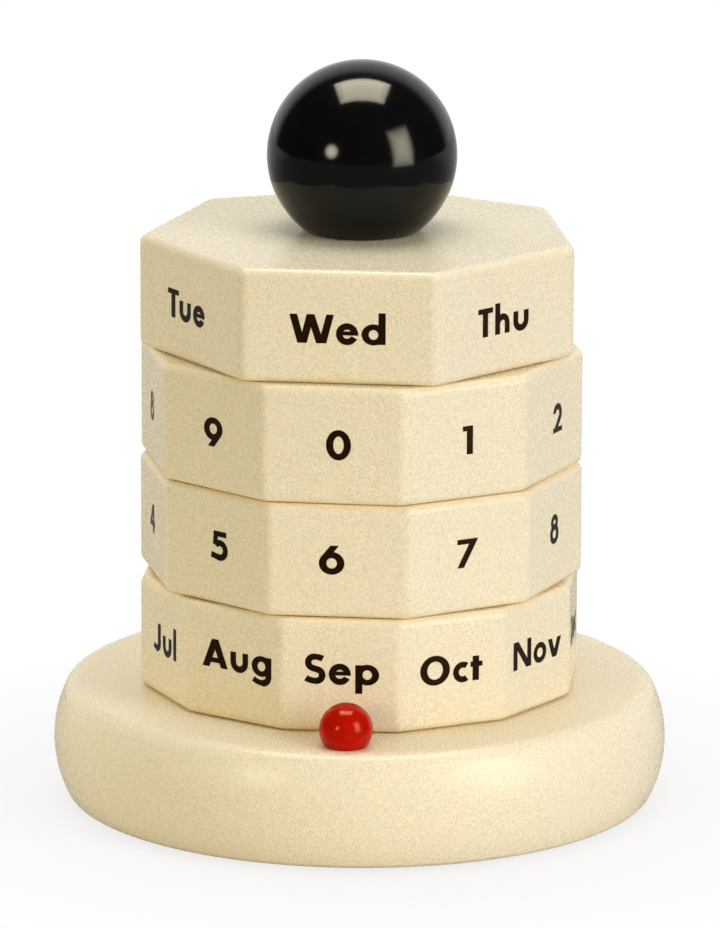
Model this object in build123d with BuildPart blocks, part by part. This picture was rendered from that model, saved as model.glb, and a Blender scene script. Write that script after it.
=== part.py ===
from build123d import *
from math import sqrt
import os

# Perpetual desk calendar: four wooden rings turn on an upright sleeve between
# a round base and a ball knob. From the bottom up they carry the twelve months,
# the units digit, the tens digit and the seven weekdays. A small ball on the
# base marks the side that is read.
#
# Millimetres. Origin on the surface that the calendar stands on, under the
# centre of the base. +Z is up, along the spindle, and -Y is the side that is read.

os.makedirs("parts", exist_ok=True)

# ---------------------------------------------------------------- driving sizes
# Rings
month_faces = 12
digit_faces = 10
weekday_faces = 7
ring_corner_radius = 41.2      # centre to the sharp corner of each polygon
month_height = 21.1            # the rings' heights differ a little, as cut
units_height = 21.0
tens_height = 21.7
weekday_height = 20.9
ring_gap = 0.1                 # daylight between one ring and the next
ring_upright_round = 2.8       # rounding of the upright edges
ring_rim_round = 1.5           # rounding of the top and bottom edges
# How far each ring is turned past the index, in degrees about +Z
month_turned = -2.3
units_turned = -2.9
tens_turned = -4.4
weekday_turned = -3.3

# Base
base_margin = 15.8             # how far the base stands out past the rings' corners
base_height = 21.35
base_belly_height = 9.4        # height of the widest line of the rounded side
base_top_inset = 3.0
base_bottom_inset = 2.8
base_top_round = 3.4
base_bottom_round = 1.5

# Felt pad under the base
felt_thickness = 2.0
felt_proud = 0.5               # how far the felt stands below the wood
felt_rim = 5.0                 # wood left around the felt at the underside
felt_clearance = 0.3

# Spindle: a bolt inside a sleeve that the rings turn on
bolt_diameter = 6.0
bolt_clearance = 0.3           # radial, in the base and in the sleeve
bolt_engagement = 13.0         # length of bolt inside the knob
bolt_tip_chamfer = 0.8
bolt_head_flats = 10.0
bolt_head_height = 4.0
bolt_head_cover = 0.8          # room between the bolt's head and the felt
bolt_washer_radius = 9.0
bolt_washer_thickness = 1.6
bolt_washer_clearance = 0.2    # radial, around the bolt
head_recess_clearance = 0.8    # radial, around the bolt's washer
sleeve_wall = 2.7
sleeve_seat_depth = 5.0        # how deep the sleeve stands in the base
sleeve_seat_clearance = 0.02
running_clearance = 0.1        # radial, ring on sleeve

# Slip washers under the rings
washer_width = 4.9
washer_thickness = 1.0
washer_clearance = 0.1         # radial, around the sleeve
washer_pocket_clearance = 0.3  # radial, inside the ring's pocket

# Knob and its coned spring washer
knob_radius = 17.5
knob_flat_cut = 3.6            # how much of the ball its seat cuts away
knob_edge_round = 0.4
knob_gap = 0.2                 # daylight between the weekday ring and the knob
knob_tip_room = 1.5            # hole left beyond the bolt's tip
spring_thickness = 0.5
spring_pocket_depth = 0.9
spring_inset = 1.3             # how far the spring hides inside the knob's seat
spring_pocket_clearance = 0.4
insert_wall = 1.5
insert_length = 11.0
insert_flange_width = 1.0
insert_flange_thickness = 1.0
thread_clearance = 0.05
insert_clearance = 0.02

# Index ball on the base
index_radius = 4.9
index_flat_cut = 1.9
index_gap = 1.9                # clear of the rings' corners
index_pin_radius = 1.0
index_pin_in_base = 5.0
index_pin_in_ball = 4.5
index_pin_clearance = 0.02
index_pin_end_room = 0.3

# ---------------------------------------------------------------- worked-out sizes
base_bottom = felt_proud
base_top = base_bottom + base_height
base_radius = ring_corner_radius + base_margin
base_top_radius = base_radius - base_top_inset
base_bottom_radius = base_radius - base_bottom_inset
felt_recess_radius = base_bottom_radius - felt_rim

month_bottom = base_top + ring_gap
units_bottom = month_bottom + month_height + ring_gap
tens_bottom = units_bottom + units_height + ring_gap
weekday_bottom = tens_bottom + tens_height + ring_gap
weekday_top = weekday_bottom + weekday_height

bolt_radius = bolt_diameter / 2
bolt_hole_radius = bolt_radius + bolt_clearance
bolt_head_bottom = felt_thickness + bolt_head_cover
bolt_head_top = bolt_head_bottom + bolt_head_height
head_recess_top = bolt_head_top + bolt_washer_thickness
head_recess_radius = bolt_washer_radius + head_recess_clearance

sleeve_radius = bolt_hole_radius + sleeve_wall
sleeve_bottom = base_top - sleeve_seat_depth
ring_bore_radius = sleeve_radius + running_clearance
washer_bore_radius = sleeve_radius + washer_clearance
washer_radius = washer_bore_radius + washer_width
washer_pocket_radius = washer_radius + washer_pocket_clearance
washer_pocket_depth = washer_thickness - ring_gap

knob_seat = weekday_top + knob_gap
knob_centre = knob_seat + knob_radius - knob_flat_cut
knob_seat_radius = sqrt(knob_radius**2 - (knob_radius - knob_flat_cut) ** 2)
bolt_tip = knob_seat + bolt_engagement
spring_radius = knob_seat_radius - spring_inset
spring_pocket_floor = weekday_top - spring_pocket_depth
insert_bore_radius = bolt_radius + thread_clearance
insert_radius = insert_bore_radius + insert_wall
insert_flange_radius = insert_radius + insert_flange_width

index_distance = ring_corner_radius + index_gap + index_radius
index_centre = base_top + index_radius - index_flat_cut


def save(part, name):
    """Name a finished solid and write it to its own file."""
    part.label = name
    export_step(part, f"parts/{name}.step")


# ---------------------------------------------------------------- base
# Turned wood, with a rounded side that is widest below the middle.
with BuildPart() as base:
    with BuildSketch(Plane.XZ):
        with BuildLine():
            Line((0, base_bottom), (base_bottom_radius, base_bottom))
            ThreePointArc(
                (base_bottom_radius, base_bottom),
                (base_radius, base_bottom + base_belly_height),
                (base_top_radius, base_top),
            )
            Line((base_top_radius, base_top), (0, base_top))
            Line((0, base_top), (0, base_bottom))
        make_face()
    revolve(axis=Axis.Z)
    fillet(base.faces().sort_by(Axis.Z)[-1].edges(), base_top_round)
    fillet(base.faces().sort_by(Axis.Z)[0].edges(), base_bottom_round)
    # recess for the felt, recess for the bolt's head, bolt hole, seat of the sleeve
    with BuildSketch(Plane.XY.offset(base_bottom)):
        Circle(felt_recess_radius)
    extrude(amount=felt_thickness - felt_proud, mode=Mode.SUBTRACT)
    with BuildSketch(Plane.XY.offset(felt_thickness)):
        Circle(head_recess_radius)
    extrude(amount=head_recess_top - felt_thickness, mode=Mode.SUBTRACT)
    with Locations((0, 0, base_top)):
        CounterBoreHole(
            radius=bolt_hole_radius,
            counter_bore_radius=sleeve_radius + sleeve_seat_clearance,
            counter_bore_depth=sleeve_seat_depth,
        )
    # blind hole for the pin of the index ball
    with Locations((0, -index_distance, base_top)):
        Hole(
            radius=index_pin_radius + index_pin_clearance,
            depth=index_pin_in_base + index_pin_end_room,
        )
save(base.part, "base")

# ---------------------------------------------------------------- felt pad
with BuildPart() as base_felt:
    with BuildSketch():
        Circle(felt_recess_radius - felt_clearance)
    extrude(amount=felt_thickness)
save(base_felt.part, "base_felt")

# ---------------------------------------------------------------- spindle
# Hexagon bolt, head down, from the underside of the base into the knob.
with BuildPart() as spindle_bolt:
    with BuildSketch(Plane.XY.offset(bolt_head_bottom)):
        RegularPolygon(radius=bolt_head_flats / 2, side_count=6, major_radius=False)
    extrude(amount=bolt_head_height)
    with BuildSketch(Plane.XY.offset(bolt_head_top)):
        Circle(bolt_radius)
    extrude(amount=bolt_tip - bolt_head_top)
    chamfer(spindle_bolt.edges().sort_by(Axis.Z)[-1], bolt_tip_chamfer)
save(spindle_bolt.part, "spindle_bolt")

with BuildPart() as bolt_washer:
    with BuildSketch(Plane.XY.offset(bolt_head_top)):
        Circle(bolt_washer_radius)
        Circle(bolt_radius + bolt_washer_clearance, mode=Mode.SUBTRACT)
    extrude(amount=bolt_washer_thickness)
save(bolt_washer.part, "bolt_washer")

# The sleeve stands in the base and takes the knob's seat on its top end, so
# that the bolt clamps base, sleeve and knob together and leaves the rings free.
with BuildPart() as axle_sleeve:
    with BuildSketch(Plane.XY.offset(sleeve_bottom)):
        Circle(sleeve_radius)
        Circle(bolt_hole_radius, mode=Mode.SUBTRACT)
    extrude(amount=knob_seat - sleeve_bottom)
save(axle_sleeve.part, "axle_sleeve")

# ---------------------------------------------------------------- rings and washers
# Each ring is a wooden prism with a rounded rim, bored for the sleeve, with a
# pocket underneath for the slip washer that carries it.
rings = (
    ("month", month_faces, month_turned, month_bottom, month_height),
    ("units", digit_faces, units_turned, units_bottom, units_height),
    ("tens", digit_faces, tens_turned, tens_bottom, tens_height),
    ("weekday", weekday_faces, weekday_turned, weekday_bottom, weekday_height),
)

for ring_name, faces, turned, bottom, height in rings:
    # a face, not a corner, looks towards -Y when the ring isn't turned
    first_corner = -90 + 180 / faces + turned
    with BuildPart() as ring:
        with BuildSketch(Plane.XY.offset(bottom)) as outline:
            RegularPolygon(ring_corner_radius, faces, rotation=first_corner)
            fillet(outline.vertices(), ring_upright_round)
        extrude(amount=height)
        rims = ring.faces().filter_by(Axis.Z).edges()
        fillet(rims, ring_rim_round)
        with BuildSketch(Plane.XY.offset(bottom)):
            Circle(washer_pocket_radius)
        extrude(amount=washer_pocket_depth, mode=Mode.SUBTRACT)
        if ring_name == "weekday":
            with BuildSketch(Plane.XY.offset(spring_pocket_floor)):
                Circle(spring_radius + spring_pocket_clearance)
            extrude(amount=spring_pocket_depth, mode=Mode.SUBTRACT)
        with BuildSketch(Plane.XY.offset(bottom)):
            Circle(ring_bore_radius)
        extrude(amount=height, mode=Mode.SUBTRACT)
    save(ring.part, f"{ring_name}_ring")

    with BuildPart() as slip_washer:
        with BuildSketch(Plane.XY.offset(bottom - ring_gap)):
            Circle(washer_radius)
            Circle(washer_bore_radius, mode=Mode.SUBTRACT)
        extrude(amount=washer_thickness)
    save(slip_washer.part, f"{ring_name}_washer")

# ---------------------------------------------------------------- knob
# Coned spring washer: its outer edge stands in the weekday ring's pocket and
# its inner edge reaches the knob's seat, so the rings don't rattle.
with BuildPart() as knob_spring:
    with BuildSketch(Plane.XZ):
        with BuildLine():
            Polyline(
                (spring_radius, spring_pocket_floor),
                (spring_radius, spring_pocket_floor + spring_thickness),
                (washer_bore_radius, knob_seat),
                (washer_bore_radius, knob_seat - spring_thickness),
                close=True,
            )
        make_face()
    revolve(axis=Axis.Z)
save(knob_spring.part, "knob_spring_washer")

with BuildPart() as knob:
    with Locations((0, 0, knob_centre)):
        Sphere(knob_radius)
    split(bisect_by=Plane.XY.offset(knob_seat), keep=Keep.TOP)
    fillet(knob.faces().sort_by(Axis.Z)[0].edges(), knob_edge_round)
    with BuildSketch(Plane.XY.offset(knob_seat)):
        Circle(insert_flange_radius + insert_clearance)
    extrude(amount=insert_flange_thickness, mode=Mode.SUBTRACT)
    with BuildSketch(Plane.XY.offset(knob_seat)):
        Circle(insert_radius + insert_clearance)
    extrude(amount=bolt_engagement + knob_tip_room, mode=Mode.SUBTRACT)
save(knob.part, "knob_ball")

# Flanged threaded insert, flush with the knob's seat.
with BuildPart() as knob_insert:
    with BuildSketch(Plane.XY.offset(knob_seat)):
        Circle(insert_radius)
    extrude(amount=insert_length)
    with BuildSketch(Plane.XY.offset(knob_seat)):
        Circle(insert_flange_radius)
    extrude(amount=insert_flange_thickness)
    with BuildSketch(Plane.XY.offset(knob_seat)):
        Circle(insert_bore_radius)
    extrude(amount=insert_length, mode=Mode.SUBTRACT)
save(knob_insert.part, "knob_insert")

# ---------------------------------------------------------------- index ball
with BuildPart() as index_ball:
    with Locations((0, -index_distance, index_centre)):
        Sphere(index_radius)
    split(bisect_by=Plane.XY.offset(base_top), keep=Keep.TOP)
    with BuildSketch(Plane.XY.offset(base_top)):
        with Locations((0, -index_distance)):
            Circle(index_pin_radius + index_pin_clearance)
    extrude(amount=index_pin_in_ball + index_pin_end_room, mode=Mode.SUBTRACT)
save(index_ball.part, "index_ball")

with BuildPart() as index_pin:
    with BuildSketch(Plane.XY.offset(base_top - index_pin_in_base)):
        with Locations((0, -index_distance)):
            Circle(index_pin_radius)
    extrude(amount=index_pin_in_base + index_pin_in_ball)
save(index_pin.part, "index_pin")
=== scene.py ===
"""Looks of a perpetual desk calendar: four lettered rings that turn between a round base and a ball knob.

Metres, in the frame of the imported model: +Z is up along the spindle and -Y is the side that is read.
"""

import math
from collections import namedtuple

import bpy
from mathutils import Matrix, Vector


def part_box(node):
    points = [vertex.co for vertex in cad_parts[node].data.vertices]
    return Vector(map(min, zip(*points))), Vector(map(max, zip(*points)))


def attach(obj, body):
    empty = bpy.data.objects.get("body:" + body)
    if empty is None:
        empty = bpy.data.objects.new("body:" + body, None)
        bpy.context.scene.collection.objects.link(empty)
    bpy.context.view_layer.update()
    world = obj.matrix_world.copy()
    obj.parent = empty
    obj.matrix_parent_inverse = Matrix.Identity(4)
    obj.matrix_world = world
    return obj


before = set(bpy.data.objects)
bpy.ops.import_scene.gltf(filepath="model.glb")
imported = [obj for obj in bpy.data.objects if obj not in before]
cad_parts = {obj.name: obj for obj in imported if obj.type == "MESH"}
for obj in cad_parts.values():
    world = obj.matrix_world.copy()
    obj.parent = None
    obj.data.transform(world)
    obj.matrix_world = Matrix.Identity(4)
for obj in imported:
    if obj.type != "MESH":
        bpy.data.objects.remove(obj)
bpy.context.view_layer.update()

MM = 0.001

# ---------------------------------------------------------------- the calendar's own sizes
RING_CORNER_RADIUS = 41.2 * MM
SEAM_LEVELS = [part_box(ring)[0][2] for ring in ("month_ring", "units_ring", "tens_ring", "weekday_ring")]
SEAM_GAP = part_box("weekday_ring")[0][2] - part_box("tens_ring")[1][2]

# Faces of each ring, how far it is turned past the index (degrees about +Z), and what is
# printed on it, from the face that is read round to the right: text, shift to the right of
# the face's centre and height of the baseline above the ring's lower edge, in millimetres.
# The words and numbers were set by hand, so they are not quite level or centred.
RINGS = {
    "weekday_ring": (7, -3.3, (
        ("Wed", -0.25, 7.6), ("Thu", -0.9, 7.4), ("Fri", -0.4, 7.5), ("Sat", -0.2, 7.6),
        ("Sun", -0.6, 7.4), ("Mon", -0.3, 7.7), ("Tue", -0.9, 7.6),
    )),
    "tens_ring": (10, -4.4, (
        ("0", 1.0, 8.5), ("1", 0.6, 8.4), ("2", 1.35, 8.3), ("3", 0.8, 8.5), ("4", 0.3, 8.4),
        ("5", 0.5, 8.5), ("6", 0.9, 8.3), ("7", 0.4, 8.4), ("8", 0.6, 8.5), ("9", 0.2, 8.35),
    )),
    "units_ring": (10, -2.9, (
        ("6", -1.2, 8.3), ("7", -0.25, 8.45), ("8", -0.65, 8.6), ("9", -0.3, 8.4), ("0", 0.2, 8.5),
        ("1", 0.3, 8.4), ("2", -0.5, 8.3), ("3", -0.3, 8.5), ("4", -0.2, 8.4), ("5", 0.65, 8.5),
    )),
    "month_ring": (12, -2.3, (
        ("Sep", 0.28, 9.15), ("Oct", -0.05, 8.5), ("Nov", 0.05, 8.8), ("Dec", 0.1, 8.6),
        ("Jan", 0.2, 8.7), ("Feb", 0.0, 8.6), ("Mar", 0.2, 8.8), ("Apr", -0.1, 9.0),
        ("May", 0.2, 8.7), ("Jun", 0.0, 8.5), ("Jul", 0.6, 8.4), ("Aug", 0.7, 9.6),
    )),
}


# ---------------------------------------------------------------- shader maths
class Wire:
    """An output of a shader node, with arithmetic that adds Math nodes."""

    def __init__(self, paint, socket):
        self.paint = paint
        self.socket = socket

    def _math(self, operation, first, second):
        return self.paint.add("ShaderNodeMath", {"operation": operation}, {0: first, 1: second})

    def __add__(self, other):
        return self._math("ADD", self, other)

    def __radd__(self, other):
        return self._math("ADD", other, self)

    def __sub__(self, other):
        return self._math("SUBTRACT", self, other)

    def __rsub__(self, other):
        return self._math("SUBTRACT", other, self)

    def __mul__(self, other):
        return self._math("MULTIPLY", self, other)

    def __rmul__(self, other):
        return self._math("MULTIPLY", other, self)


class Paint:
    """The nodes of one material or world, with a single method that adds a node."""

    def __init__(self, name, owner=None):
        self.owner = owner or bpy.data.materials.new(name)
        self.owner.use_nodes = True
        self.tree = self.owner.node_tree
        self.tree.nodes.clear()

    def add(self, kind, settings=None, inputs=None, out=0):
        """Adds a node, sets it, wires its inputs and returns one output."""
        node = self.tree.nodes.new(kind)
        for name, value in (settings or {}).items():
            setattr(node, name, value)
        for key, value in (inputs or {}).items():
            if isinstance(value, Wire):
                self.tree.links.new(value.socket, node.inputs[key])
            else:
                node.inputs[key].default_value = value
        return Wire(self, node.outputs[out]) if node.outputs else None

    def object_point(self):
        return self.add("ShaderNodeTexCoord", out="Object")

    def along(self, axis, point):
        """One coordinate of a point."""
        return self.add("ShaderNodeSeparateXYZ", inputs={0: point}, out=axis)

    def length(self, point):
        return self.add("ShaderNodeVectorMath", {"operation": "LENGTH"}, {0: point}, out="Value")

    def size_of(self, value):
        """A value without its sign."""
        return self.add("ShaderNodeMath", {"operation": "ABSOLUTE"}, {0: value})

    def band(self, value, low, high):
        """Smooth step from 0 at low to 1 at high."""
        return self.add(
            "ShaderNodeMapRange",
            {"interpolation_type": "SMOOTHSTEP"},
            {"Value": value, "From Min": low, "From Max": high},
        )

    def noise(self, grain, detail=2.0, roughness=0.5, point=None):
        """Noise from 0 to 1 with features about as large as grain, in metres."""
        return self.add(
            "ShaderNodeTexNoise",
            inputs={
                "Vector": point or self.object_point(),
                "Scale": 1.0 / grain,
                "Detail": detail,
                "Roughness": roughness,
            },
            out="Fac",
        )

    def spots(self, grain, softness, roughness=0.5):
        """Noise whose middle is stretched, so that it reads as light and dark spots."""
        return self.band(self.noise(grain, roughness=roughness), 0.5 - softness, 0.5 + softness)

    def blend(self, factor, first, second):
        """Colour mix: first where factor is 0, second where it is 1."""
        return self.add(
            "ShaderNodeMix",
            {"data_type": "RGBA"},
            {
                "Factor": factor,
                6: (*first, 1.0) if isinstance(first, tuple) else first,
                7: (*second, 1.0) if isinstance(second, tuple) else second,
            },
            out=2,
        )

    def bump(self, height, distance):
        return self.add("ShaderNodeBump", inputs={"Height": height, "Distance": distance, "Strength": 1.0})

    def surface(self, **inputs):
        """Ends the material in one shader; underscores in input names are spaces."""
        shader = self.add(
            "ShaderNodeBsdfPrincipled",
            inputs={
                name.replace("_", " "): (*value, 1.0) if isinstance(value, tuple) else value
                for name, value in inputs.items()
            },
        )
        self.add("ShaderNodeOutputMaterial", inputs={"Surface": shader})
        return self.owner


# ---------------------------------------------------------------- finishes
# Painted light: a warm amber glow of bounce light in the seams between rings, mixed into the cream's base
# colour.
PAINTED_GLOW_TONE = (0.93, 0.75, 0.42)
PAINTED_GLOW_STRENGTH = 0.7
PAINTED_GLOW_CORE = 0.15 * MM        # the painted glow is full this near to a seam
PAINTED_GLOW_REACH = 0.9 * MM        # and gone this far above and below it
LEDGE_FADE = (0.01 * MM, 0.15 * MM)        # away from a flat ledge, the painted glow comes back over this
PAST_CORNERS_FADE = (0.3 * MM, 1.8 * MM)   # and outside the rings' corners it goes over this


def painted_glow_at_seams(paint, tone):
    """Paints a warm amber glow of bounce light into a colour along the seams, but not on the flat ledges
    under them or on the base.
    """
    point = paint.object_point()
    height = paint.along("Z", point)
    flat_point = paint.add("ShaderNodeVectorMath", {"operation": "MULTIPLY"}, {0: point, 1: (1, 1, 0)})
    past_corners = paint.length(flat_point) - RING_CORNER_RADIUS
    on_rings = 1 - paint.band(past_corners, *PAST_CORNERS_FADE)
    for level in SEAM_LEVELS:
        near = 1 - paint.band(paint.size_of(height - level), PAINTED_GLOW_CORE, PAINTED_GLOW_REACH)
        off_ledge = paint.band(paint.size_of(height - (level - SEAM_GAP)), *LEDGE_FADE)
        # painted glow: the seam's warm bounce light is mixed into the colour here
        tone = paint.blend(near * off_ledge * on_rings * PAINTED_GLOW_STRENGTH, tone, PAINTED_GLOW_TONE)
    return tone


def cream_lacquer():
    """Satin cream coat, speckled, with a painted amber glow of bounce light along the edges where two
    rings meet.
    """
    paint = Paint("cream_lacquer")
    speckle = paint.spots(0.42 * MM, 0.18, roughness=0.6)
    blotch = paint.spots(1.1 * MM, 0.18)
    cloud = paint.spots(9 * MM, 0.20)
    tone = paint.blend(speckle, (0.735, 0.622, 0.388), (0.900, 0.786, 0.518))
    tone = paint.blend(blotch * 0.38, tone, (0.885, 0.705, 0.405))
    tone = paint.blend(cloud * 0.25, tone, (0.81, 0.71, 0.48))
    peel = paint.noise(1.4 * MM, detail=3.0)
    return paint.surface(
        # the base colour carries the painted amber glow of bounce light along the seams
        Base_Color=painted_glow_at_seams(paint, tone),
        Roughness=0.22 + 0.07 * speckle,
        Normal=paint.bump(peel, 0.03 * MM),
        Specular_IOR_Level=0.10,
        Specular_Tint=(0.78, 0.88, 1.0),
    )


def gloss_lacquer(name, deep, bright, shine, shine_tint=(1.0, 1.0, 1.0)):
    """High gloss coat with a little dust and unevenness in it."""
    paint = Paint(name)
    depth = paint.noise(2.5 * MM, detail=3.0)
    dust = paint.noise(0.5 * MM)
    peel = paint.noise(5 * MM, detail=1.0)
    return paint.surface(
        Base_Color=paint.blend(depth, deep, bright),
        Roughness=0.05 + 0.09 * dust,
        Normal=paint.bump(peel, 0.008 * MM),
        Specular_IOR_Level=shine,
        Specular_Tint=shine_tint,
    )


def printing_ink():
    """Dark brown ink that turns pale only where it is seen edge on."""
    paint = Paint("printing_ink")
    cover = paint.noise(0.35 * MM)
    return paint.surface(
        Base_Color=paint.blend(cover, (0.0075, 0.0027, 0.0006), (0.0135, 0.0054, 0.0014)),
        Roughness=0.24 + 0.10 * cover,
        Normal=paint.bump(cover, 0.01 * MM),
        Specular_IOR_Level=0.5,
        Specular_Tint=(0.36, 0.22, 0.08),
    )


def pressed_felt():
    paint = Paint("pressed_felt")
    fibre = paint.noise(0.4 * MM, detail=5.0, roughness=0.7)
    tuft = paint.noise(3 * MM, detail=3.0)
    tone = paint.blend(fibre, (0.014, 0.022, 0.015), (0.060, 0.080, 0.058))
    tone = paint.blend(tuft * 0.4, tone, (0.030, 0.042, 0.030))
    return paint.surface(
        Base_Color=tone,
        Roughness=0.95,
        Normal=paint.bump(fibre, 0.25 * MM),
        Sheen_Weight=0.3,
    )


def turned_metal(name, dark, light, rough):
    """Metal with fine marks that run round the spindle."""
    paint = Paint(name)
    squeezed = paint.add(
        "ShaderNodeMapping", inputs={"Vector": paint.object_point(), "Scale": (1.0, 1.0, 30.0)}
    )
    marks = paint.noise(3 * MM, detail=4.0, point=squeezed)
    stain = paint.noise(6 * MM)
    return paint.surface(
        Base_Color=paint.blend(marks, dark, light),
        Metallic=1.0,
        Roughness=rough + 0.12 * stain,
        Normal=paint.bump(marks, 0.01 * MM),
    )


def moulded_nylon():
    paint = Paint("moulded_nylon")
    haze = paint.noise(2 * MM, detail=3.0)
    return paint.surface(
        Base_Color=paint.blend(haze, (0.74, 0.72, 0.65), (0.84, 0.83, 0.78)),
        Roughness=0.42 + 0.10 * haze,
        Normal=paint.bump(haze, 0.02 * MM),
    )


cream = cream_lacquer()
black = gloss_lacquer(
    "black_lacquer", deep=(0.0018, 0.0018, 0.0016), bright=(0.0040, 0.0040, 0.0037), shine=0.22
)
red = gloss_lacquer(
    "red_lacquer",
    deep=(0.38, 0.0026, 0.0007),
    bright=(0.50, 0.0095, 0.0012),
    shine=0.18,
    shine_tint=(1.0, 0.50, 0.32),
)
ink = printing_ink()
felt = pressed_felt()
zinc = turned_metal("zinc_steel", dark=(0.45, 0.46, 0.47), light=(0.66, 0.67, 0.68), rough=0.28)
spring = turned_metal("spring_steel", dark=(0.20, 0.19, 0.18), light=(0.34, 0.33, 0.32), rough=0.32)
brass = turned_metal("sleeve_brass", dark=(0.60, 0.41, 0.16), light=(0.78, 0.58, 0.28), rough=0.24)
nylon = moulded_nylon()

FINISHES = {
    "base": cream,
    "month_ring": cream,
    "units_ring": cream,
    "tens_ring": cream,
    "weekday_ring": cream,
    "knob_ball": black,
    "index_ball": red,
    "base_felt": felt,
    "spindle_bolt": zinc,
    "bolt_washer": zinc,
    "index_pin": zinc,
    "axle_sleeve": brass,
    "knob_insert": brass,
    "knob_spring_washer": spring,
    "month_washer": nylon,
    "units_washer": nylon,
    "tens_washer": nylon,
    "weekday_washer": nylon,
}
for node_name, finish in FINISHES.items():
    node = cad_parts[node_name]
    node.data.materials.clear()
    node.data.materials.append(finish)

bpy.ops.object.select_all(action="DESELECT")

# ---------------------------------------------------------------- printed words and numbers
# Plain geometric capitals, small letters and figures, drawn here in millimetres from the
# foot of the line: every glyph is a few strokes joined into one thin slab of ink.
CAP = 5.3            # height of capitals and figures
SMALL = 3.6          # height of small letters
TALL = 5.8           # top of the stems of b, d and h
TAIL = -1.75         # foot of the stems of p and y
INK_TOP = 0.04       # the ink stands this far proud of the face
INK_FOOT = -0.10     # and its slab is sunk this far into the wood, so that it has no gap
INK_MIDDLE = (INK_TOP + INK_FOOT) / 2
INK_DEPTH = INK_TOP - INK_FOOT
ROUND_SIDES = 72     # sides of a round stroke
ARC_STEP = 5         # degrees from one cross-section of an arc to the next
FEWEST_ARC_STEPS = 8
CUT_TOLERANCE = 0.0001

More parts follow.
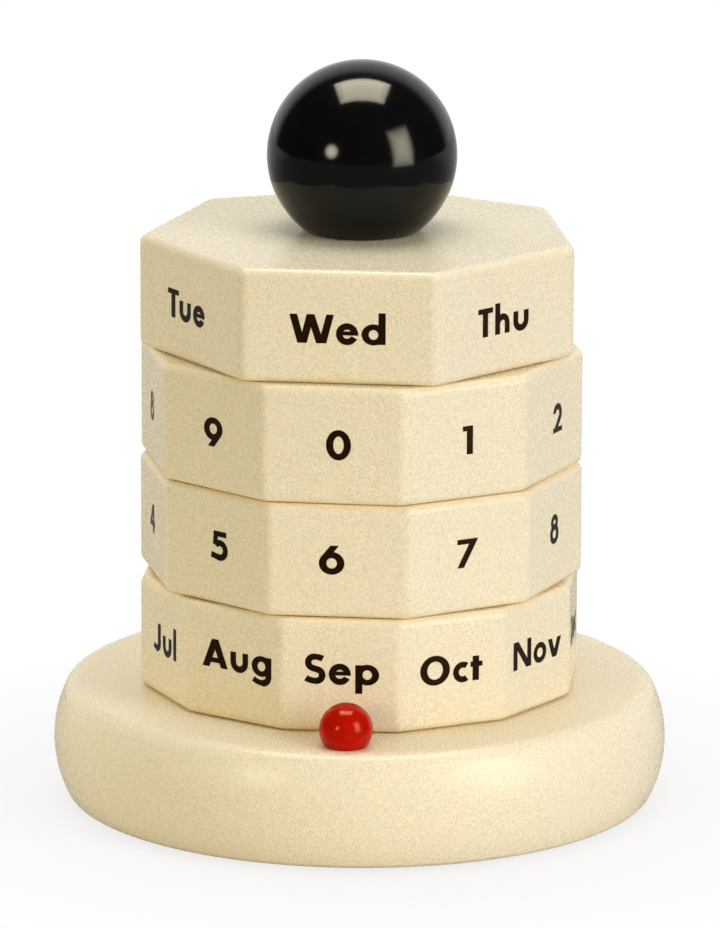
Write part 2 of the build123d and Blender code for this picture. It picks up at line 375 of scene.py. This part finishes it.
# A glyph has its space on the left, its width, its space on the right and its strokes, and
# it may be cut off level at its foot or head. The strokes are:
#   bar: from x, y to x, y, width
#   bow: centre x, y, radius, width, from an angle to an angle (degrees, anticlockwise)
#   hoop: centre x, y, outer radius across and up, width at the sides, width at the top
#   dot: centre x, y, radius
Glyph = namedtuple("Glyph", "left width right strokes foot head", defaults=(None, None))
GLYPHS = {
    "0": Glyph(0.3, 4.54, 0.3, [("hoop", 2.27, 2.65, 2.27, 2.8, 1.32, 1.2)]),
    "1": Glyph(0.3, 2.1, 0.3, [
        ("bar", 1.48, 0, 1.48, CAP, 1.26), ("bar", 0, 4.78, 1.4, 4.84, 0.94),
    ]),
    "2": Glyph(0.3, 4.1, 0.3, [
        ("bow", 1.95, 3.47, 1.36, 1.14, -42, 172), ("bar", 3.01, 2.61, 0.3, -0.4, 1.14),
        ("bar", 0.08, 0.46, 4.02, 0.46, 0.92),
    ], foot=0),
    "3": Glyph(0.3, 4.0, 0.3, [
        ("bow", 1.9, 3.87, 1.01, 1.08, -95, 152), ("bow", 1.92, 1.83, 1.38, 1.17, -148, 95),
        ("bar", 1.15, 3.02, 2.0, 3.02, 0.95),
    ]),
    "4": Glyph(0.3, 4.3, 0.3, [
        ("bar", 3.05, 0, 3.05, CAP, 1.22), ("bar", 3.0, 5.8, 0.55, 1.5, 1.05),
        ("bar", 0.0, 1.58, 4.3, 1.58, 0.96),
    ], foot=0, head=CAP),
    "5": Glyph(0.3, 4.2, 0.3, [
        ("bar", 0.72, 4.84, 3.85, 4.84, 1.02), ("bar", 1.3, 5.0, 1.04, 2.75, 1.04),
        ("bow", 2.26, 1.81, 1.36, 1.18, -125, 142), ("bar", 1.75, 0.5, 0.14, 0.86, 1.12),
    ]),
    "6": Glyph(0.3, 4.65, 0.3, [
        ("hoop", 2.33, 2.0, 2.33, 2.13, 1.38, 1.17), ("bar", 0.99, 2.94, 3.14, 5.6, 1.22),
    ], head=CAP),
    "7": Glyph(0.3, 4.4, 0.3, [
        ("bar", 0.0, 4.83, 3.6, 4.83, 0.94), ("bar", 0.49, -0.4, 3.91, 5.7, 1.22),
    ], foot=0, head=CAP),
    "8": Glyph(0.3, 3.96, 0.3, [
        ("hoop", 1.98, 3.98, 1.62, 1.44, 1.08, 0.95), ("hoop", 1.98, 1.74, 1.98, 1.87, 1.2, 1.02),
    ]),
    "A": Glyph(0.1, 5.72, 0.1, [
        ("bar", 0.61, -0.4, 3.04, 5.7, 1.42), ("bar", 5.11, -0.4, 2.68, 5.7, 1.42),
        ("bar", 1.3, 1.36, 4.42, 1.36, 0.95),
    ], foot=0, head=CAP),
    "D": Glyph(0.5, 4.95, 0.3, [
        ("bar", 0.65, 0, 0.65, CAP, 1.3), ("bow", 2.26, 2.65, 2.08, 1.14, -90, 90),
        ("bar", 0.6, 4.73, 2.3, 4.73, 1.14), ("bar", 0.6, 0.57, 2.3, 0.57, 1.14),
    ]),
    "F": Glyph(0.5, 3.4, 0.1, [
        ("bar", 0.65, 0, 0.65, CAP, 1.3), ("bar", 0.6, 4.78, 3.4, 4.78, 1.04),
        ("bar", 0.6, 2.75, 3.1, 2.75, 0.98),
    ]),
    "J": Glyph(0.2, 3.2, 0.5, [
        ("bar", 2.56, 1.64, 2.56, CAP, 1.28), ("bow", 1.42, 1.65, 1.14, 1.24, -100, 2),
        ("bar", 1.5, 0.5, 0.12, 0.92, 1.02),
    ]),
    "M": Glyph(0.3, 6.9, 0.3, [
        ("bar", 0.53, -0.4, 1.3, 5.7, 1.3), ("bar", 6.37, -0.4, 5.6, 5.7, 1.3),
        ("bar", 1.14, 5.7, 3.63, -0.4, 1.28), ("bar", 5.76, 5.7, 3.27, -0.4, 1.28),
    ], foot=0, head=CAP),
    "N": Glyph(0.5, 5.74, 0.5, [
        ("bar", 0.64, 0, 0.64, CAP, 1.28), ("bar", 5.1, 0, 5.1, CAP, 1.28),
        ("bar", 0.44, 5.7, 5.3, -0.4, 1.26),
    ], foot=0, head=CAP),
    "O": Glyph(0.3, 5.96, 0.3, [("hoop", 2.98, 2.65, 2.98, 2.79, 1.42, 1.1)]),
    "S": Glyph(0.3, 4.05, 0.28, [
        ("bow", 1.96, 3.91, 1.08, 1.18, 88, 255), ("bow", 1.96, 1.39, 3.6, 1.14, 64, 91),
        ("bar", 1.6, 2.89, 2.7, 2.56, 1.2), ("bow", 2.34, 1.54, 1.08, 1.22, -92, 75),
        ("bow", 2.34, 4.24, 3.78, 1.16, -120, -89),
    ]),
    "T": Glyph(0.1, 3.8, 0.12, [
        ("bar", 0, 4.81, 3.8, 4.81, 0.98), ("bar", 1.88, 0, 1.88, 5.0, 1.34),
    ]),
    "W": Glyph(0.1, 8.1, 0.05, [
        ("bar", 0.6, 5.7, 2.27, -0.4, 1.34), ("bar", 2.38, -0.4, 3.94, 5.7, 1.34),
        ("bar", 3.72, 5.7, 5.7, -0.4, 1.34), ("bar", 5.9, -0.4, 7.49, 5.7, 1.34),
    ], foot=0, head=CAP),
    "a": Glyph(0.3, 4.36, 0.5, [
        ("hoop", 2.16, 1.8, 2.16, 1.94, 1.3, 1.05), ("bar", 3.71, 0, 3.71, SMALL, 1.3),
    ]),
    "b": Glyph(0.5, 4.36, 0.3, [
        ("hoop", 2.2, 1.8, 2.16, 1.94, 1.3, 1.05), ("bar", 0.65, 0, 0.65, TALL, 1.3),
    ]),
    "c": Glyph(0.3, 3.15, 0.2, [("bow", 2.0, 1.8, 1.38, 1.14, 55, 305)]),
    "d": Glyph(0.3, 4.36, 0.5, [
        ("hoop", 2.16, 1.8, 2.16, 1.94, 1.3, 1.05), ("bar", 3.71, 0, 3.71, TALL, 1.3),
    ]),
    "e": Glyph(0.3, 4.02, 0.3, [
        ("bow", 2.01, 1.8, 1.42, 1.18, -8, 334), ("bar", 0.6, 1.95, 3.92, 1.95, 0.74),
    ]),
    "g": Glyph(0.3, 4.42, 0.5, [
        ("hoop", 2.2, 1.8, 2.18, 1.94, 1.32, 1.05), ("bar", 3.77, 0.0, 3.77, SMALL, 1.3),
        ("bow", 2.44, 0.06, 1.35, 1.26, -92, 3), ("bow", 2.44, 2.71, 4.0, 1.06, -121, -89),
    ]),
    "h": Glyph(0.5, 3.76, 0.5, [
        ("bar", 0.64, 0, 0.64, TALL, 1.28), ("bow", 1.98, 2.0, 1.15, 1.18, 0, 165),
        ("bar", 3.14, 0, 3.14, 2.05, 1.24),
    ]),
    "i": Glyph(0.5, 1.44, 0.5, [
        ("bar", 0.72, 0, 0.72, SMALL, 1.28), ("dot", 0.72, 4.95, 0.76),
    ]),
    "l": Glyph(0.4, 1.28, 0.5, [("bar", 0.64, 0, 0.64, 6.0, 1.28)]),
    "n": Glyph(0.5, 3.76, 0.5, [
        ("bar", 0.64, 0, 0.64, SMALL, 1.28), ("bow", 1.98, 2.0, 1.15, 1.18, 0, 165),
        ("bar", 3.14, 0, 3.14, 2.05, 1.24),
    ]),
    "o": Glyph(0.3, 4.14, 0.3, [("hoop", 2.07, 1.8, 2.07, 1.94, 1.14, 1.04)]),
    "p": Glyph(0.5, 4.36, 0.3, [
        ("hoop", 2.18, 1.8, 2.18, 1.94, 1.32, 1.05), ("bar", 0.65, TAIL, 0.65, SMALL, 1.3),
    ]),
    "r": Glyph(0.5, 2.66, 0.1, [
        ("bar", 0.64, 0, 0.64, SMALL, 1.28), ("bow", 1.84, 2.38, 0.82, 1.08, 48, 175),
    ]),
    "t": Glyph(0.2, 2.4, 0.3, [
        ("bar", 1.06, 0, 1.06, 4.6, 1.28), ("bar", 0, 3.08, 2.4, 3.08, 0.98),
    ]),
    "u": Glyph(0.5, 3.98, 0.5, [
        ("bow", 1.99, 1.78, 1.36, 1.24, 180, 360), ("bar", 0.63, 1.75, 0.63, SMALL, 1.24),
        ("bar", 3.35, 1.75, 3.35, SMALL, 1.24),
    ]),
    "v": Glyph(0.2, 4.4, 0.1, [
        ("bar", 0.53, 4.0, 2.28, -0.4, 1.18), ("bar", 3.87, 4.0, 2.12, -0.4, 1.18),
    ], foot=0, head=SMALL),
    "y": Glyph(0.1, 4.3, 0.1, [
        ("bar", 0.53, 4.0, 2.1, 0.0, 1.18), ("bar", 3.77, 4.0, 1.45, -2.1, 1.18),
    ], foot=TAIL, head=SMALL),
}
CLOSER = {"Tu": 0.35}         # pairs set closer than their side spaces
HALF_TURN_OF = {"9": "6"}     # drawn as the other sign, turned upside down


def settle(piece):
    """Applies the place, turn and size of a piece to its mesh."""
    bpy.ops.object.select_all(action="DESELECT")
    piece.select_set(True)
    bpy.context.view_layer.objects.active = piece
    bpy.ops.object.transform_apply(location=True, rotation=True, scale=True)
    return piece


def combine(body, other, operation):
    """Joins another solid to a body, or cuts it out."""
    step = body.modifiers.new(operation.lower(), "BOOLEAN")
    step.operation = operation
    step.solver = "EXACT"
    step.object = other
    bpy.context.view_layer.objects.active = body
    bpy.ops.object.modifier_apply(modifier=step.name)
    bpy.data.objects.remove(other)
    return body


def bar(x0, y0, x1, y1, width):
    """Straight stroke with square ends."""
    bpy.ops.mesh.primitive_cube_add(
        size=1,
        location=((x0 + x1) / 2, (y0 + y1) / 2, INK_MIDDLE),
        rotation=(0, 0, math.atan2(y1 - y0, x1 - x0)),
        scale=(math.hypot(x1 - x0, y1 - y0), width, INK_DEPTH),
    )
    return settle(bpy.context.object)


def disc(x, y, radius_x, radius_y, depth):
    bpy.ops.mesh.primitive_cylinder_add(
        vertices=ROUND_SIDES, location=(x, y, INK_MIDDLE), scale=(radius_x, radius_y, depth / 2)
    )
    return settle(bpy.context.object)


def dot(x, y, radius):
    return disc(x, y, radius, radius, INK_DEPTH)


def hoop(x, y, radius_x, radius_y, side, crown):
    """Closed round stroke: side is its width at left and right, crown at top and bottom."""
    return combine(
        disc(x, y, radius_x, radius_y, INK_DEPTH),
        disc(x, y, radius_x - side, radius_y - crown, 2 * INK_DEPTH),
        "DIFFERENCE",
    )


def bow(x, y, radius, width, first, last):
    """Stroke along an arc: its cross-section is spun from one angle round to another."""
    bpy.ops.mesh.primitive_plane_add(size=1, rotation=(math.pi / 2, 0, 0))
    stroke = bpy.context.object
    stroke.location = (radius, 0, INK_MIDDLE)
    stroke.scale = (width, INK_DEPTH, 1)
    settle(stroke)
    bpy.ops.object.mode_set(mode="EDIT")
    bpy.ops.mesh.select_all(action="SELECT")
    bpy.ops.mesh.spin(
        steps=max(FEWEST_ARC_STEPS, round((last - first) / ARC_STEP)),
        angle=math.radians(last - first),
        center=(0, 0, 0),
        axis=(0, 0, -1),
    )
    bpy.ops.mesh.select_all(action="SELECT")
    bpy.ops.mesh.normals_make_consistent(inside=False)
    bpy.ops.object.mode_set(mode="OBJECT")
    stroke.rotation_euler = (0, 0, math.radians(first))
    stroke.location = (x, y, 0)
    return settle(stroke)


def cut_level(glyph, height, keep_above):
    """Cuts a glyph off level at a height."""
    bpy.ops.object.select_all(action="DESELECT")
    glyph.select_set(True)
    bpy.context.view_layer.objects.active = glyph
    bpy.ops.object.mode_set(mode="EDIT")
    bpy.ops.mesh.select_all(action="SELECT")
    bpy.ops.mesh.bisect(
        plane_co=(0, height, 0),
        plane_no=(0, 1, 0),
        use_fill=True,
        clear_inner=keep_above,
        clear_outer=not keep_above,
        threshold=CUT_TOLERANCE,
    )
    bpy.ops.object.mode_set(mode="OBJECT")


STROKES = {"bar": bar, "bow": bow, "hoop": hoop, "dot": dot}


def glyph_of(sign):
    return GLYPHS[HALF_TURN_OF.get(sign, sign)]


def draw_glyph(sign):
    """The mesh of one sign, in millimetres."""
    glyph = glyph_of(sign)
    kind, *numbers = glyph.strokes[0]
    drawn = STROKES[kind](*numbers)
    for kind, *numbers in glyph.strokes[1:]:
        drawn = combine(drawn, STROKES[kind](*numbers), "UNION")
    if glyph.foot is not None:
        cut_level(drawn, glyph.foot, keep_above=True)
    if glyph.head is not None:
        cut_level(drawn, glyph.head, keep_above=False)
    if sign in HALF_TURN_OF:
        drawn.rotation_euler = (0, 0, math.pi)
        drawn.location = (glyph.width, CAP, 0)
        settle(drawn)
    mesh = drawn.data
    bpy.data.objects.remove(drawn)
    return mesh


def text_places(text):
    """Signs of a text with the left edge of each, centred on 0."""
    places = []
    edge = 0.0
    for number, sign in enumerate(text):
        glyph = glyph_of(sign)
        if number:
            edge += glyph.left - CLOSER.get(text[number - 1:number + 1], 0)
        places.append((sign, edge))
        edge += glyph.width + glyph.right
    half = (edge - glyph.right) / 2
    return [(sign, start - half) for sign, start in places]


glyph_meshes = {}
for ring_name, (faces, turned, texts) in RINGS.items():
    ring_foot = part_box(ring_name)[0][2]
    reach = RING_CORNER_RADIUS * math.cos(math.pi / faces)
    signs = []
    for number, (text, shift, baseline) in enumerate(texts):
        face = (
            Matrix.Rotation(math.radians(turned + 360 / faces * number), 4, "Z")
            @ Matrix.Translation((shift * MM, -reach, ring_foot + baseline * MM))
            @ Matrix.Rotation(math.pi / 2, 4, "X")
            @ Matrix.Scale(MM, 4)
        )
        for sign, start in text_places(text):
            if sign not in glyph_meshes:
                glyph_meshes[sign] = draw_glyph(sign)
            piece = bpy.data.objects.new("sign", glyph_meshes[sign].copy())
            bpy.context.collection.objects.link(piece)
            piece.matrix_world = face @ Matrix.Translation((start, 0, 0))
            signs.append(piece)
    bpy.ops.object.select_all(action="DESELECT")
    for piece in signs:
        piece.select_set(True)
    bpy.context.view_layer.objects.active = signs[0]
    bpy.ops.object.join()
    lettering = settle(bpy.context.object)
    lettering.name = ring_name.replace("ring", "lettering")
    lettering.data.name = lettering.name
    lettering.data.materials.clear()
    lettering.data.materials.append(ink)
    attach(lettering, ring_name)

# ---------------------------------------------------------------- camera
# The camera of the photograph: about 1.4 m away, looking down on the calendar.
CAMERA_DISTANCE = 1.3502       # level distance from the spindle
CAMERA_HEIGHT = 0.3866
CAMERA_AZIMUTH = 2.95          # degrees to the right of the side that is read
CAMERA_YAW = 0.006
CAMERA_PITCH = 13.494          # degrees down
CAMERA_ROLL = 0.246
SENSOR_HEIGHT = 36.0
LENS = 290.5

camera_data = bpy.data.cameras.new("camera")
camera_data.sensor_fit = "VERTICAL"
camera_data.sensor_height = SENSOR_HEIGHT
camera_data.sensor_width = SENSOR_HEIGHT
camera_data.lens = LENS
camera = bpy.data.objects.new("camera", camera_data)
bpy.context.collection.objects.link(camera)
camera.matrix_world = (
    Matrix.Rotation(math.radians(CAMERA_AZIMUTH), 4, "Z")
    @ Matrix.Translation((0, -CAMERA_DISTANCE, CAMERA_HEIGHT))
    @ Matrix.Rotation(math.radians(CAMERA_YAW), 4, "Z")
    @ Matrix.Rotation(math.radians(90 - CAMERA_PITCH), 4, "X")
    @ Matrix.Rotation(math.radians(CAMERA_ROLL), 4, "Z")
)
bpy.context.scene.camera = camera

# ---------------------------------------------------------------- lamps
AIM = Vector((0.0, 0.0, 0.09))     # the lamps point at the middle of the rings
LAMP_DISTANCE = 1.2
LAYER_STEP = 0.002
GLEAM_TINT = (1.0, 0.93, 0.72)
# Layers of a reflection, from the outside in: size against the lamp's own, share of the sheen.
CRISP = ((1.0, 0.55), (0.90, 0.25), (0.74, 0.20))
SOFT = ((1.16, 0.12), (1.0, 0.30), (0.82, 0.24), (0.62, 0.20), (0.40, 0.14))


def direction(azimuth, elevation):
    """Unit vector from the calendar; azimuth is from -Y towards +X."""
    flat = math.cos(math.radians(elevation))
    return Vector((
        math.sin(math.radians(azimuth)) * flat,
        -math.cos(math.radians(azimuth)) * flat,
        math.sin(math.radians(elevation)),
    ))


def lamp_at(name, toward, distance, width, height, radiance, tint, shape):
    """Area lamp that shines at the calendar with a given radiance."""
    lamp = bpy.data.lights.new(name, "AREA")
    lamp.shape = shape
    lamp.size = width
    lamp.size_y = height
    lamp.color = tint
    lamp.energy = radiance * math.pi * width * height * (math.pi / 4 if shape == "ELLIPSE" else 1)
    holder = bpy.data.objects.new(name, lamp)
    bpy.context.collection.objects.link(holder)
    holder.location = AIM + toward * distance
    holder.rotation_mode = "QUATERNION"
    holder.rotation_quaternion = toward.to_track_quat("Z", "Y")
    return holder


def softbox(name, azimuth, elevation, width, height, glow, tint, sheen=0, layers=(), shape="RECTANGLE"):
    """A lamp that lights the surfaces, behind layers of it that only gloss shows.

    Each layer stands a step nearer than the last, so that the reflection fades at its edge.
    """
    toward = direction(azimuth, elevation)
    light = lamp_at(name, toward, LAMP_DISTANCE, width, height, glow, tint, shape)
    light.visible_glossy = False
    for number, (size, share) in enumerate(layers):
        gleam = lamp_at(
            f"{name}_gleam_{number}", toward, LAMP_DISTANCE - (number + 1) * LAYER_STEP,
            size * width, size * height, share * sheen, GLEAM_TINT, shape,
        )
        gleam.visible_diffuse = False


softbox(
    "overhead_softbox", azimuth=183, elevation=83.5, width=0.97, height=0.77,
    glow=3.6, tint=(0.95, 1.0, 1.15), sheen=18.5, layers=CRISP,
)
softbox(
    "right_softbox", azimuth=54, elevation=16, width=0.56, height=0.86,
    glow=6.8, tint=(0.96, 1.0, 1.19), sheen=14.5, layers=SOFT,
)
softbox(
    "left_umbrella", azimuth=-35, elevation=13.3, width=0.32, height=0.32,
    glow=13.9, tint=(1.10, 1.0, 0.70), sheen=24, layers=SOFT, shape="ELLIPSE",
)
softbox("front_fill", azimuth=8, elevation=20, width=1.0, height=0.8, glow=0.45, tint=(1.0, 1.0, 1.0))
softbox(
    "rear_left_fill", azimuth=-118, elevation=12, width=0.8, height=0.6, glow=3.4, tint=(0.94, 1.0, 1.20)
)

# ---------------------------------------------------------------- surroundings
# The camera sees white all round. In reflections and as light, a white backdrop stands behind
# the calendar and the rest of the room is dim.
BACKDROP_EDGE = (0.50, 0.76)       # the backdrop fades in over this share of the way to +Y
ROOM_LIGHT = 0.16
BACKDROP_LIGHT = 0.74
ROOM_SHEEN = 0.03
BACKDROP_SHEEN = 0.85

world = bpy.data.worlds.new("studio")
bpy.context.scene.world = world
room = Paint("studio", world)
seen = room.add("ShaderNodeLightPath", out="Is Camera Ray")
mirrored = room.add("ShaderNodeLightPath", out="Is Glossy Ray")
through = room.add("ShaderNodeLightPath", out="Is Transmission Ray")
backdrop = room.band(room.along("Y", room.add("ShaderNodeTexCoord", out="Generated")), *BACKDROP_EDGE)
lighting = ROOM_LIGHT + BACKDROP_LIGHT * backdrop
mirror = ROOM_SHEEN + BACKDROP_SHEEN * backdrop
strength = seen + through + mirrored * mirror + (1 - seen - through - mirrored) * lighting
sky = room.add("ShaderNodeBackground", inputs={"Color": (1.0, 1.0, 1.0, 1.0), "Strength": strength})
room.add("ShaderNodeOutputWorld", inputs={"Surface": sky})

# ---------------------------------------------------------------- floor
FLOOR_SIDE = 6.0
SHADOW_FADE = (0.05, 0.12)         # from here to there the seen floor turns from lit paper to plain white
PLAIN_WHITE_SHARE = 0.78           # how much of it is plain white at the calendar's foot
SHEET_EDGE = (0.30, 0.36)          # beyond the sheet of paper the floor throws no light on the object
DARK_FLOOR = (0.03, 0.03, 0.03)
GLEAM_NEAR = 0.26                  # brightness of the floor in reflections, in front
GLEAM_RISE = 0.36                  # and how much it gains towards the backdrop
GLEAM_RISE_REACH = (0.05, 0.60)


def white_paper():
    """Pale paper that keeps the calendar's shadow, fades to white and is clear from below."""
    paper = Paint("white_paper")
    point = paper.object_point()
    from_spindle = paper.length(point)
    fibres = paper.noise(2 * MM, detail=3.0)
    sheet = paper.blend(fibres, (0.69, 0.675, 0.64), (0.73, 0.715, 0.68))
    beyond = paper.add(
        "ShaderNodeMapRange",
        inputs={"Value": from_spindle, "From Min": SHEET_EDGE[0], "From Max": SHEET_EDGE[1]},
    )
    matte = paper.add("ShaderNodeBsdfDiffuse", inputs={"Color": paper.blend(beyond, sheet, DARK_FLOOR)})
    rearward = paper.band(paper.along("Y", point), *GLEAM_RISE_REACH)
    gleam = paper.add("ShaderNodeEmission", inputs={"Strength": GLEAM_NEAR + GLEAM_RISE * rearward})
    white = paper.add("ShaderNodeEmission", inputs={"Color": (1.0, 1.0, 1.0, 1.0)})
    plain = PLAIN_WHITE_SHARE + (1 - PLAIN_WHITE_SHARE) * paper.band(from_spindle, *SHADOW_FADE)
    camera_ray = paper.add("ShaderNodeLightPath", out="Is Camera Ray")
    glossy_ray = paper.add("ShaderNodeLightPath", out="Is Glossy Ray")
    unseen = paper.add("ShaderNodeMixShader", inputs={"Fac": glossy_ray, 1: matte, 2: gleam})
    lit = paper.add("ShaderNodeMixShader", inputs={"Fac": camera_ray * plain, 1: unseen, 2: white})
    from_below = paper.add("ShaderNodeNewGeometry", out="Backfacing")
    clear = paper.add("ShaderNodeBsdfTransparent")
    sided = paper.add("ShaderNodeMixShader", inputs={"Fac": from_below, 1: lit, 2: clear})
    paper.add("ShaderNodeOutputMaterial", inputs={"Surface": sided})
    return paper.owner


bpy.ops.mesh.primitive_plane_add(size=FLOOR_SIDE, location=(0, 0, 0))
floor = bpy.context.object
floor.name = "floor"
floor.data.materials.append(white_paper())

bpy.context.scene.view_settings.view_transform = "Standard"
